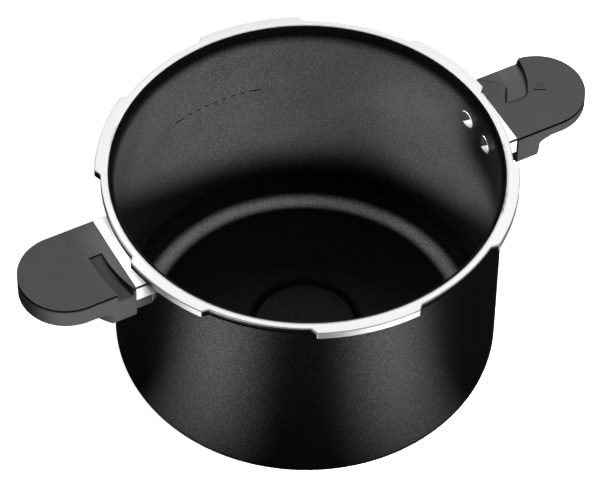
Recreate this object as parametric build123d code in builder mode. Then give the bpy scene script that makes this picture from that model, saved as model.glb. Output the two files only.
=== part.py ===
"""Body of a stovetop pressure cooker: a pot with a bayonet rim, and two handles on riveted brackets."""
import os
from math import asin, cos, degrees, radians, sin, sqrt

from build123d import *

# Pot, in millimetres. Z is up from the surface that the pot stands on, and X runs along the handles.
pot_height = 129.0
pot_inner_radius = 101.0
wall = 2.0
floor_thickness = 4.0
base_corner_radius = 9.0
floor_corner_radius = 14.0
base_ring_width = 10.0
base_recess_depth = 0.5
floor_recess_radius = 31.5
floor_recess_slope = 5.0
floor_recess_depth = 1.2

# Rim and bayonet lugs, with angles in degrees
rim_bend_radius = 4.3
rim_thickness = 4.2
rim_land = 2.5
lug_count = 6
lug_reach = 3.1
lug_span = 28.3
lug_flare = 2.3
lug_offset = 19.0
lug_trim = 3.0
lug_corner_radius = 1.2
rim_edge_break = 0.4

# Rivets
rivet_drop = 19.0
rivet_spacing_angle = 11.5
rivet_shift_angle = -1.5
rivet_shank_radius = 2.6
rivet_head_radius = 5.0
rivet_head_height = 2.0
rivet_tail_radius = 4.2
rivet_tail_height = 2.0

# Brackets
sheet = 1.5
bracket_reach = 9.0
bracket_drop = 8.0
cheek_height = 10.0
back_plate_height = 20.0
back_plate_margin = 4.0
fold_radius = 0.3
tongue_drop = 12.0
tongue_length = 12.0
tongue_width = 24.0

# Handles
handle_width = 50.8
handle_length = 52.5
handle_edge_radius = 0.15
groove_lip = 0.3
groove_height = 1.2
groove_depth = 0.6
slab_edge_radius = 1.0
block_setback = 12.0
block_radius = 36.0
pocket_margin = 1.5
pocket_corner_radius = 3.0
heel_width = 7.0
heel_drop = 16.5

# The left handle is the deeper moulding of the two.
left_slab = 13.0
left_block = 24.3
left_block_round = 5.0
left_block_hollow = 4.0
right_slab = 8.3
right_block = 21.5
right_block_round = 4.0
right_block_hollow = 5.0

# Ramped slot in the left handle's top, open at one side
slot_root_wall = 5.4
slot_width = 7.6
slot_bend_radius = 79.0
slot_past_middle = 3.6
slot_shallow = 1.5
slot_deep = 6.6

# Ramped recess in the right handle's top, open at one side, measured from the handle's root
recess_mouth_reach = 29.0
recess_waist_reach = 27.0
recess_waist_side = 12.5
recess_end_reach = 20.8
recess_end_inner = 7.0
recess_end_round = 2.2
recess_island_reach = 13.6
recess_island_side = 11.2
recess_lead_past = 1.6
recess_shallow = 0.4
recess_deep = 4.2
recess_draft = 10.0

# Alignment mark in the right handle's top
mark_reach = 28.3
mark_angle = -27.5
mark_length = 6.4
mark_stroke = 1.0
mark_gap = 1.6
mark_depth = 0.4
arrow_width = 5.0
arrow_height = 4.4
arrow_stroke = 0.5
arrow_depth = 0.2

# Screws, washers and inserts
screw_setback = 6.0
screw_radius = 2.45
screw_head_radius = 4.5
screw_head_height = 3.0
screw_head_round = 1.2
screw_thread_length = 5.0
drive_width = 1.2
drive_length = 5.0
drive_depth = 1.6
washer_radius = 4.4
washer_thickness = 1.2
washer_split = 0.9
insert_radius = 3.5
insert_length = 5.6
insert_band = 2.0
insert_notches = 16
insert_notch = 0.5

# Clearances
seat_gap = 0.05
hole_gap = 0.1
root_gap = 0.2
thread_gap = 0.05
cut_margin = 5.0

# Pot levels and radii
pot_outer_radius = pot_inner_radius + wall
bend_middle_radius = pot_inner_radius + rim_bend_radius
bend_middle_height = pot_height - rim_bend_radius
rim_underside = pot_height - rim_thickness
under_bend_radius = rim_bend_radius - wall
under_bend_height = rim_underside - under_bend_radius
rim_radius = bend_middle_radius + rim_land
lug_radius = rim_radius + lug_reach
lug_foot_radius = rim_radius - rim_land / 2
lug_pitch = 360 / lug_count
base_ring_outer_radius = pot_outer_radius - base_corner_radius
base_recess_radius = base_ring_outer_radius - base_ring_width

# Bracket and handle levels and reaches
handle_top = pot_height - bracket_drop
half_width = handle_width / 2
handle_root = pot_outer_radius + bracket_reach
handle_tip_middle = handle_root + handle_length - half_width
bracket_front = handle_root - root_gap
bracket_back_radius = pot_outer_radius + seat_gap
tongue_top = handle_top - tongue_drop
tongue_underside = tongue_top - sheet
tongue_end = handle_root + tongue_length
pocket_end = tongue_end + pocket_margin
pocket_width = tongue_width + 2 * pocket_margin
heel_radius = bracket_back_radius + sheet + hole_gap
heel_foot = handle_top - heel_drop
heel_height = heel_drop - cheek_height - hole_gap
screw_reach = handle_root + screw_setback
rivet_height = pot_height - rivet_drop

# Each side's name, turn about Z in degrees, and direction of the handle along X
SIDES = (("left", 180.0, -1), ("right", 0.0, 1))


def ground_plane(turn, height):
    """Level plane whose X runs out along the handle of one side."""
    outward = (cos(radians(turn)), sin(radians(turn)), 0)
    return Plane(origin=(0, 0, height), x_dir=outward, z_dir=(0, 0, 1))


def upright_plane(turn):
    """Upright plane through the pot's axis: X runs outward and Y runs up."""
    outward = (cos(radians(turn)), sin(radians(turn)), 0)
    return Plane(origin=(0, 0, 0), x_dir=outward, z_dir=(sin(radians(turn)), -cos(radians(turn)), 0))


def radial_plane(turn, height):
    """Upright plane on the pot's axis that faces outward."""
    outward = (cos(radians(turn)), sin(radians(turn)), 0)
    return Plane(origin=(0, 0, height), x_dir=(-outward[1], outward[0], 0), z_dir=outward)


def save(builder, name):
    """Labels a finished piece and writes it."""
    builder.part.label = name
    export_step(builder.part, f"parts/{name}.step")


def mid_radius(edge):
    """Distance of an edge's middle from the pot's axis."""
    middle = edge @ 0.5
    return sqrt(middle.X**2 + middle.Y**2)


def rivet_turns(turn):
    """Angles of the two rivets on one side."""
    middle = turn + rivet_shift_angle
    return middle - rivet_spacing_angle / 2, middle + rivet_spacing_angle / 2


os.makedirs("parts", exist_ok=True)


def lug_plan(place):
    """Plan of one lug; the lug by each handle is trimmed at one end."""
    start = lug_offset + place * lug_pitch - lug_span / 2
    sweep = lug_span
    if place == 0:
        sweep -= lug_trim
    if place == lug_count // 2:
        start += lug_trim
        sweep -= lug_trim
    with BuildSketch() as plan:
        with BuildLine():
            tip = CenterArc((0, 0), lug_radius, start, sweep)
            foot = CenterArc((0, 0), lug_foot_radius, start - lug_flare, sweep + 2 * lug_flare)
            Line(tip @ 0, foot @ 0)
            Line(tip @ 1, foot @ 1)
        make_face()
        fillet(plan.vertices().sort_by_distance((0, 0))[-2:], lug_corner_radius)
    return plan.sketch


# Points of the soft step down into the round recess in the floor
recess_floor = floor_thickness - floor_recess_depth
slope_middle = (floor_recess_radius - floor_recess_slope / 2, floor_thickness - floor_recess_depth / 2)
slope_foot = (floor_recess_radius - floor_recess_slope, recess_floor)

# Pot: one wall from the middle of the base to the turned-out rim, with the lugs on its flange
with BuildPart() as pot_body:
    with BuildSketch(Plane.XZ):
        with BuildLine():
            base_middle = Line((0, base_recess_depth), (base_recess_radius, base_recess_depth))
            base_step = Line(base_middle @ 1, (base_recess_radius + base_recess_depth, 0))
            base_ring = Line(base_step @ 1, (base_ring_outer_radius, 0))
            CenterArc((base_ring_outer_radius, base_corner_radius), base_corner_radius, 270, 90)
            Line((pot_outer_radius, base_corner_radius), (pot_outer_radius, under_bend_height))
            CenterArc((bend_middle_radius, under_bend_height), under_bend_radius, 180, -90)
            rim_under = Line((bend_middle_radius, rim_underside), (rim_radius, rim_underside))
            rim_side = Line(rim_under @ 1, (rim_radius, pot_height))
            Line(rim_side @ 1, (bend_middle_radius, pot_height))
            CenterArc((bend_middle_radius, bend_middle_height), rim_bend_radius, 90, 90)
            floor_corner = CenterArc(
                (pot_inner_radius - floor_corner_radius, floor_thickness + floor_corner_radius),
                floor_corner_radius,
                0,
                -90,
            )
            Line((pot_inner_radius, bend_middle_height), floor_corner @ 0)
            floor_flat = Line(floor_corner @ 1, (floor_recess_radius, floor_thickness))
            slope_top = TangentArc(floor_flat @ 1, slope_middle, tangent=(-1, 0))
            TangentArc(slope_middle, slope_foot, tangent=slope_top % 1)
            floor_middle = Line(slope_foot, (0, recess_floor))
            Line(floor_middle @ 1, base_middle @ 0)
        make_face()
    revolve(axis=Axis.Z)
    with BuildSketch(Plane.XY.offset(rim_underside)):
        for lug_place in range(lug_count):
            add(lug_plan(lug_place))
    extrude(amount=rim_thickness)
    rim_top_edges = pot_body.edges().group_by(Axis.Z)[-1]
    rim_outline = rim_top_edges.filter_by(lambda edge: mid_radius(edge) > lug_foot_radius)
    chamfer(rim_outline, rim_edge_break)
    for side, side_turn, direction in SIDES:
        for rivet_turn in rivet_turns(side_turn):
            with BuildSketch(radial_plane(rivet_turn, rivet_height)):
                Circle(rivet_shank_radius + hole_gap)
            extrude(amount=lug_radius, mode=Mode.SUBTRACT)
save(pot_body, "pot_body")

# Brackets: one folded sheet each, with a back plate on the wall, a top plate, two cheeks, a front plate
# against the handle and a tongue under it
for side, side_turn, direction in SIDES:
    with BuildPart() as bracket:
        with BuildSketch(ground_plane(side_turn, handle_top - sheet)):
            with Locations((bracket_front / 2, 0)):
                Rectangle(bracket_front, handle_width)
            Circle(bracket_back_radius, mode=Mode.SUBTRACT)
        extrude(amount=sheet)
        with BuildSketch(ground_plane(side_turn, handle_top - cheek_height)):
            with Locations((bracket_front / 2, 0)):
                Rectangle(bracket_front, handle_width)
            with Locations((bracket_front / 2 - sheet, 0)):
                Rectangle(bracket_front, handle_width - 2 * sheet, mode=Mode.SUBTRACT)
            Circle(bracket_back_radius, mode=Mode.SUBTRACT)
        extrude(amount=cheek_height)
        with BuildSketch(ground_plane(side_turn, handle_top - back_plate_height)):
            Circle(bracket_back_radius + sheet)
            Circle(bracket_back_radius, mode=Mode.SUBTRACT)
            with Locations((bracket_front / 2, 0)):
                Rectangle(bracket_front, handle_width - 2 * back_plate_margin, mode=Mode.INTERSECT)
        extrude(amount=back_plate_height)
        with BuildSketch(ground_plane(side_turn, tongue_underside)):
            with Locations((bracket_front - sheet / 2, 0)):
                Rectangle(sheet, tongue_width)
        extrude(amount=handle_top - tongue_underside)
        with BuildSketch(ground_plane(side_turn, tongue_underside)):
            with Locations(((bracket_front - sheet + tongue_end) / 2, 0)):
                Rectangle(tongue_end - bracket_front + sheet, tongue_width)
        extrude(amount=sheet)
        handle_axis = Axis((0, 0, 0), ground_plane(side_turn, 0).x_dir)
        fillet(bracket.edges().filter_by(handle_axis).group_by(Axis.Z)[-1], fold_radius)
        with BuildSketch(ground_plane(side_turn, tongue_underside)):
            with Locations((screw_reach, 0)):
                Circle(screw_radius + hole_gap)
        extrude(amount=sheet, mode=Mode.SUBTRACT)
        for rivet_turn in rivet_turns(side_turn):
            with BuildSketch(radial_plane(rivet_turn, rivet_height)):
                Circle(rivet_shank_radius + hole_gap)
            extrude(amount=bracket_back_radius + 2 * sheet, mode=Mode.SUBTRACT)
    save(bracket, f"bracket_{side}")

# Rivets: domed head on the inner wall, shank, and a set tail on the bracket's back plate
head_seat = sqrt(pot_inner_radius**2 - rivet_head_radius**2) - seat_gap
tail_seat = bracket_back_radius + sheet + seat_gap
for side, side_turn, direction in SIDES:
    for place, offset_sign in (("far", direction), ("near", -direction)):
        rivet_turn = side_turn + rivet_shift_angle + offset_sign * rivet_spacing_angle / 2
        rivet_axis = Axis((0, 0, rivet_height), (cos(radians(rivet_turn)), sin(radians(rivet_turn)), 0))
        with BuildPart() as rivet:
            with BuildSketch(upright_plane(rivet_turn)):
                with BuildLine():
                    crown = (head_seat - rivet_head_height, rivet_height)
                    shoulder = (head_seat, rivet_height + rivet_head_radius)
                    head = TangentArc(crown, shoulder, tangent=(0, 1))
                    under_head = Line(head @ 1, (head_seat, rivet_height + rivet_shank_radius))
                    shank = Line(under_head @ 1, (tail_seat, rivet_height + rivet_shank_radius))
                    under_tail = Line(shank @ 1, (tail_seat, rivet_height + rivet_tail_radius))
                    tail_end = (tail_seat + rivet_tail_height, rivet_height)
                    TangentArc(tail_end, under_tail @ 1, tangent=(0, 1))
                    Line(tail_end, crown)
                make_face()
            revolve(axis=rivet_axis)
        save(rivet, f"rivet_{side}_{place}")


# Plan of a handle: straight sides and a half-round end
with BuildSketch() as handle_plan:
    with BuildLine():
        handle_sides = Polyline(
            (handle_tip_middle, half_width),
            (handle_root, half_width),
            (handle_root, -half_width),
            (handle_tip_middle, -half_width),
        )
        ThreePointArc(handle_sides @ 1, (handle_root + handle_length, 0), handle_sides @ 0)
    make_face()


def grip_block(turn, slab, depth, round_radius, hollow_radius):
    """Deep block under a handle's root, whose round outer face flares into the slab."""
    foot_level = handle_top - depth
    slab_level = handle_top - slab
    head_level = slab_level + slab_edge_radius + seat_gap
    middle = handle_root - block_setback
    face_reach = middle + block_radius
    with BuildPart() as block:
        with BuildSketch(upright_plane(turn)):
            with BuildLine():
                face = Line((face_reach, foot_level), (face_reach, slab_level - hollow_radius))
                flare = TangentArc(face @ 1, (face_reach + hollow_radius, slab_level), tangent=(0, 1))
                rise = Line(flare @ 1, (face_reach + hollow_radius, head_level))
                Polyline(rise @ 1, (middle, head_level), (middle, foot_level), face @ 0)
            make_face()
        revolve(axis=Axis(ground_plane(turn, 0).from_local_coords(Vector(middle, 0, 0)), (0, 0, 1)))
        with BuildSketch(ground_plane(turn, foot_level)):
            with Locations((handle_root + handle_length / 2, 0)):
                Rectangle(handle_length, handle_width)
        extrude(amount=depth, mode=Mode.INTERSECT)
        fillet(block.edges().group_by(Axis.Z)[0], round_radius)
    return block.part


def handle_body(turn, slab, depth, round_radius, hollow_radius):
    """Handle with a plain top: slab, grip block, heels under the bracket, groove, pocket and insert hole."""
    pocket_ceiling = tongue_top + seat_gap
    block = grip_block(turn, slab, depth, round_radius, hollow_radius)
    with BuildPart() as body:
        with BuildSketch(ground_plane(turn, handle_top - slab)):
            add(handle_plan.sketch)
        extrude(amount=slab)
        fillet(body.edges().group_by(Axis.Z)[0].sort_by(mid_radius)[1:], slab_edge_radius)
        fillet(body.edges().group_by(Axis.Z)[-1], handle_edge_radius)
        add(block)
        with BuildSketch(ground_plane(turn, heel_foot)):
            with Locations((handle_root, 0)):
                Rectangle(2 * bracket_reach, handle_width)
                Rectangle(2 * bracket_reach, handle_width - 2 * heel_width, mode=Mode.SUBTRACT)
            Circle(heel_radius, mode=Mode.SUBTRACT)
        extrude(amount=heel_height)
        with BuildSketch(ground_plane(turn, handle_top - groove_lip)):
            add(handle_plan.sketch)
            offset(amount=-groove_depth, mode=Mode.SUBTRACT)
        extrude(amount=-groove_height, mode=Mode.SUBTRACT)
        with BuildSketch(ground_plane(turn, pocket_ceiling)) as pocket:
            with Locations(((handle_root + pocket_end - cut_margin) / 2, 0)):
                Rectangle(pocket_end - handle_root + cut_margin, pocket_width)
            fillet(pocket.vertices().group_by(Axis.X)[-1], pocket_corner_radius)
        extrude(amount=-depth, mode=Mode.SUBTRACT)
        with BuildSketch(ground_plane(turn, pocket_ceiling)):
            with Locations((screw_reach, 0)):
                Circle(insert_radius + thread_gap)
        extrude(amount=insert_length + seat_gap, mode=Mode.SUBTRACT)
    return body.part


def ramp_plane(turn, start_side, start_depth, end_depth):
    """Plane of a sloping floor that runs from start_side across the handle to its open side."""
    ground = ground_plane(turn, handle_top - start_depth)
    normal = ground.y_dir * (end_depth - start_depth) + ground.z_dir * (half_width - start_side)
    return Plane(origin=ground.from_local_coords(Vector(0, start_side, 0)), z_dir=normal)


def slot_arc(middle, radius):
    """One side of the latch slot, from its closed end past the handle's open side."""
    start = -degrees(asin(slot_past_middle / radius))
    sweep = degrees(asin((half_width + cut_margin) / radius)) - start
    return CenterArc((middle, 0), radius, start, sweep)


# Slot of the left handle: the outer side runs round the pot's axis, the inner side bends more tightly
left_turn = SIDES[0][1]
slot_reach = handle_root + slot_root_wall
with BuildPart() as latch_slot:
    with BuildSketch(ground_plane(left_turn, handle_top - slot_deep - cut_margin)):
        with BuildLine():
            slot_inner = slot_arc(slot_reach - slot_bend_radius, slot_bend_radius)
            slot_outer = slot_arc(0, slot_reach + slot_width)
            Line(slot_inner @ 0, slot_outer @ 0)
            Line(slot_inner @ 1, slot_outer @ 1)
        make_face()
    extrude(amount=slot_deep + 2 * cut_margin)
    split(bisect_by=ramp_plane(left_turn, -slot_past_middle, slot_shallow, slot_deep), keep=Keep.TOP)

with BuildPart() as handle_left:
    add(handle_body(left_turn, left_slab, left_block, left_block_round, left_block_hollow))
    add(latch_slot.part, mode=Mode.SUBTRACT)
save(handle_left, "handle_left")

# Recess of the right handle: a curved outer wall, an island at the root, and a floor that slopes
right_turn = SIDES[1][1]
recess_mouth = (handle_root + recess_mouth_reach, half_width + cut_margin)
recess_waist = (handle_root + recess_waist_reach, recess_waist_side)
recess_end = (handle_root + recess_end_reach, 0)
recess_heel = (handle_root + (recess_end_reach + recess_end_inner) / 2, -recess_end_round)
recess_toe = (handle_root + recess_end_inner, 0)
recess_island = (handle_root + recess_island_reach, recess_island_side)
recess_lead = (handle_root - cut_margin, half_width + recess_lead_past)
recess_corner = (handle_root - cut_margin, half_width + cut_margin)
with BuildPart() as tail_recess:
    with BuildSketch(ground_plane(right_turn, handle_top)) as recess_plan:
        with BuildLine():
            ThreePointArc(recess_mouth, recess_waist, recess_end)
            ThreePointArc(recess_end, recess_heel, recess_toe)
            Polyline(recess_toe, recess_island, recess_lead, recess_corner, recess_mouth)
        make_face()
        fillet(recess_plan.vertices().sort_by_distance(recess_island)[:1], recess_end_round)
    extrude(amount=-recess_deep - recess_shallow, taper=recess_draft)
    split(bisect_by=ramp_plane(right_turn, -recess_end_round, recess_shallow, recess_deep), keep=Keep.TOP)

with BuildPart() as handle_right:
    add(handle_body(right_turn, right_slab, right_block, right_block_round, right_block_hollow))
    add(tail_recess.part, mode=Mode.SUBTRACT)
    with BuildSketch(ground_plane(right_turn, handle_top)):
        with Locations(Location((handle_root + mark_reach, 0, 0), (0, 0, mark_angle))):
            Rectangle(mark_length, mark_stroke)
    extrude(amount=-mark_depth, mode=Mode.SUBTRACT)
    with BuildSketch(ground_plane(right_turn, handle_top)):
        with Locations(Location((handle_root + mark_reach, 0, 0), (0, 0, mark_angle))):
            Polygon(
                (-arrow_width / 2, mark_gap),
                (arrow_width / 2, mark_gap),
                (0, mark_gap + arrow_height),
                align=None,
            )
        offset(amount=-arrow_stroke, mode=Mode.SUBTRACT)
    extrude(amount=-arrow_depth, mode=Mode.SUBTRACT)
save(handle_right, "handle_right")

# Inserts, screws and washers, on one upright axis under each handle
insert_foot = tongue_top + seat_gap
washer_foot = tongue_underside - seat_gap - washer_thickness
head_top = washer_foot - seat_gap
head_foot = head_top - screw_head_height
for side, side_turn, direction in SIDES:
    with BuildPart() as insert:
        with BuildSketch(ground_plane(side_turn, insert_foot)):
            with Locations((screw_reach, 0)):
                Circle(insert_radius)
                Circle(screw_radius + thread_gap, mode=Mode.SUBTRACT)
        extrude(amount=insert_length)
        with BuildSketch(ground_plane(side_turn, insert_foot + insert_band)):
            with Locations((screw_reach, 0)):
                with PolarLocations(insert_radius, insert_notches):
                    Circle(insert_notch)
        extrude(amount=insert_length - 2 * insert_band, mode=Mode.SUBTRACT)
    save(insert, f"insert_{side}")

    with BuildPart() as washer:
        with BuildSketch(ground_plane(side_turn, washer_foot)):
            with Locations((screw_reach, 0)):
                Circle(washer_radius)
                Circle(screw_radius + hole_gap, mode=Mode.SUBTRACT)
            with Locations((screw_reach + washer_radius, 0)):
                Rectangle(2 * washer_radius, washer_split, mode=Mode.SUBTRACT)
        extrude(amount=washer_thickness)
    save(washer, f"washer_{side}")

    with BuildPart() as screw:
        with BuildSketch(ground_plane(side_turn, head_foot)):
            with Locations((screw_reach, 0)):
                Circle(screw_head_radius)
        extrude(amount=screw_head_height)
        fillet(screw.edges().group_by(Axis.Z)[0], screw_head_round)
        with BuildSketch(ground_plane(side_turn, head_top)):
            with Locations((screw_reach, 0)):
                Circle(screw_radius)
        extrude(amount=tongue_top + screw_thread_length - head_top)
        with BuildSketch(ground_plane(side_turn, head_foot)):
            with Locations((screw_reach, 0)):
                Rectangle(drive_length, drive_width)
                Rectangle(drive_width, drive_length)
        extrude(amount=drive_depth, mode=Mode.SUBTRACT)
    save(screw, f"screw_{side}")
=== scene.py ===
"""Looks of a stovetop pressure cooker's body: finishes on its solids, the fill mark, and a small studio."""
from math import atan2, cos, pi, radians, sin

import bmesh
import bpy
from bpy.props import FloatProperty, FloatVectorProperty, IntProperty, PointerProperty
from mathutils import Matrix, Vector


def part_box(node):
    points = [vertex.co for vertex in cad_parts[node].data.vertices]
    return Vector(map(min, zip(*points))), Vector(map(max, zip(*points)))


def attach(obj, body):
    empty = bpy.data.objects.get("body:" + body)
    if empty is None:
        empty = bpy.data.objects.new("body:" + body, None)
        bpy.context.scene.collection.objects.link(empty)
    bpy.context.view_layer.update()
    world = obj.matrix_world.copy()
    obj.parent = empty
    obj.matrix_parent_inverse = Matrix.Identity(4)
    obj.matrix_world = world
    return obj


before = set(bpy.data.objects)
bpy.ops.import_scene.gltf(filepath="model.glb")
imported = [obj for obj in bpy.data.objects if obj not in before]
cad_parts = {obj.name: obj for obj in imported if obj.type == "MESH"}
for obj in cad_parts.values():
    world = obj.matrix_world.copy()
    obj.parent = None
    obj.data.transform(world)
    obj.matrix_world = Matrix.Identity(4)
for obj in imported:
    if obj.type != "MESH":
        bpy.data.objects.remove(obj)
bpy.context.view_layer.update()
POT_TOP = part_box("pot_body")[1].z
HANDLE_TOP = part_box("handle_right")[1].z
HANDLE_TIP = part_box("handle_right")[1].x
HALF_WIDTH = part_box("handle_right")[1].y
MOUTH = Vector((0.0, 0.0, POT_TOP))

bl_info = {
    "name": "Pressure cooker body",
    "version": (1, 0, 0),
    "blender": (4, 5, 0),
    "location": "3D View > Sidebar > Cooker",
    "description": "Finishes, fill mark and studio for the body of a stovetop pressure cooker",
    "category": "Object",
}

# Sockets of the Mix node, which repeats its names for each kind of data
MIX_FACTOR = 0
MIX_COLOURS = (6, 7)
MIX_COLOUR_OUT = 2
MIX_VALUES = (2, 3)
MIX_VALUE_OUT = 0

# Width over which one finish gives way to the next, in metres
SOFT_EDGE = 0.0001

# Level direction from the pot's axis to the part of the inner wall where the painted shade at its foot lies
# lowest
FAR_SIDE = (0.550, 0.835, 0.0)

# Level direction out of the wall on the pot's side of the right handle's recess
RECESS_SIDE = (0.8615, -0.5077, 0.0)

# Shares of a unit normal between which a face in a handle's top turns from floor to wall
WALL_TILT = (0.4, 0.6)

# How steeply the painted shade at the foot of the inner wall rises away from its lowest part
LEAN_POWER = 2.0

# Fine grain: noise levels of its lowest and highest points, shares of grain and mottling in its tone, and
# how coarse the mottling is against the grain
GRAIN_LEVELS = (0.3, 0.7)
GRAIN_SHARE = 0.8
MOTTLE_SHARE = 0.4
MOTTLE_SCALE = 0.03
GRAIN_DETAIL = 2.0
MOTTLE_DETAIL = 3.0

# Tool lines: how much finer lines show between the coarse ones
LINE_DETAIL = 3.0
LINE_ROUGHNESS = 0.6

# Grains or lines per metre of each finish, and their contrast
COAT_GRAIN = {"Grains_per_metre": 1700.0, "Contrast": 0.6}
MOULDING_GRAIN = {"Grains_per_metre": 2200.0, "Contrast": 0.35}
INK_GRAIN = {"Grains_per_metre": 1300.0, "Contrast": 0.5}
GROUND_GRAIN = {"Grains_per_metre": 60.0, "Contrast": 0.01}
RIM_LINES = {"Lines_per_metre": 2600.0, "Contrast": 0.12}
SHEET_LINES = {"Lines_per_metre": 2400.0, "Contrast": 0.10}
DOME_LINES = {"Lines_per_metre": 900.0, "Contrast": 0.06}
SCREW_LINES = {"Lines_per_metre": 2200.0, "Contrast": 0.15}
BRASS_LINES = {"Lines_per_metre": 2600.0, "Contrast": 0.12}

# Squeezes of the frame, which draw tool lines out along Y, along Z, or round about
ALONG_Y = (1.0, 0.04, 1.0)
ALONG_Z = (1.0, 1.0, 0.1)
LEVEL = (0.1, 0.1, 1.0)

# Heights of the finishes' relief in metres, and the share of it that the turned rim has
COAT_RELIEF = 0.00003
INK_RELIEF = 0.00002
METAL_RELIEF = 0.000005
RIM_RELIEF_SHARE = 0.25

# How far roughness varies to either side of its middle
COAT_SWING = 0.04
MOULDING_SWING = 0.07
METAL_SWING = 0.08

# Gloss of the coat between its specks, and how sharply the specks stand out
SPECK_LOW = 0.1
SPECK_POWER = 2.0

# Lamps, by their turn to the right of the camera and their elevation
LEFT_BOX_AIM = (radians(-27), radians(27))
RIGHT_BOX_AIM = (radians(40), radians(33))
BACK_PANEL_AIM = (pi, radians(50.5))
OVERHEAD_AIM = (0.0, pi / 2)
LEFT_WALL_AIM = (radians(45), radians(33))
RIGHT_WALL_AIM = (radians(-52), radians(33))
BRACKET_AIM = (radians(-61.6), radians(50))

# Widths and heights of the softboxes, and distances of the lamps, in metres
SOFTBOX_SIZE = (0.64, 0.24)
PANEL_SIZE = (1.3, 0.6)
SOFTBOX_DISTANCE = 1.5
PANEL_DISTANCE = 1.4
OVERHEAD_DISTANCE = 1.3
SPOT_DISTANCE = 1.5
RIVET_DISTANCE = 0.4

# Cones of the spots: radius at the target in metres, and the softness of the edge
OVERHEAD_CONE = (0.1, 0.05)
LEFT_WALL_CONE = (0.055, 0.3)
RIGHT_WALL_CONE = (0.064, 0.8)
RIVET_CONE = (0.0047, 0.2)
BRACKET_CONE = (HALF_WIDTH, 0.1)
# How flat the cone on the bracket is, how far past the handle's root it is aimed, and the largest lamp
BRACKET_SQUASH = 0.24
BRACKET_INSET = 0.0062
SPOT_RADIUS = 0.02

# Small shade in the right wall spot's beam: distance, nearest corner to the beam's axis, and size, in metres
FLAG_DISTANCE = 0.5
FLAG_CORNER = (0.0055, 0.0088)
FLAG_SIZE = 0.05

# Cards on the floor: turn from the camera to either side, inner and outer radius, radii between which their
# light rises, and half of their spread
NEAR_CARD_TURN = radians(36.5)
NEAR_CARD = {"reach": (0.105, 1.0), "rising": (0.06, 0.21), "half_span": radians(28)}
FAR_CARD_TURN = radians(127)
FAR_CARD = {"reach": (0.42, 1.2), "rising": (0.42, 0.52), "half_span": radians(36)}
# Width over which the cards' outer edges fade, their steps, and their height over the floor
CARD_FADE = 0.1
CARD_STEPS = 24
CARD_HEIGHT = 0.001

# Studio floor: half of its width, and how far it lies under the pot's base, in metres
GROUND_HALF = 30.0
GROUND_GAP = 0.0002

# How far the camera sees, in metres
CLIP_END = 100.0

WHITE = (1.0, 1.0, 1.0)
BLACK = (0.0, 0.0, 0.0)


def length(name, default, description):
    """A size in metres."""
    return FloatProperty(name=name, description=description, default=default, precision=5, unit="LENGTH")


def angle(name, default, description):
    """An angle, given here in degrees."""
    return FloatProperty(name=name, description=description, default=radians(default), unit="ROTATION")


def colour(name, default, description):
    """A colour in linear red, green and blue."""
    return FloatVectorProperty(
        name=name, description=description, default=default, size=3, min=0.0, max=1.0, subtype="COLOR"
    )


def share(name, default, description):
    """A number from 0 to 1, such as a roughness."""
    return FloatProperty(
        name=name, description=description, default=default, min=0.0, max=1.0, subtype="FACTOR"
    )


def strength(name, default, description):
    """Brightness of a lamp or card, where 1 is the white of the picture."""
    return FloatProperty(name=name, description=description, default=default, min=0.0)


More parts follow.
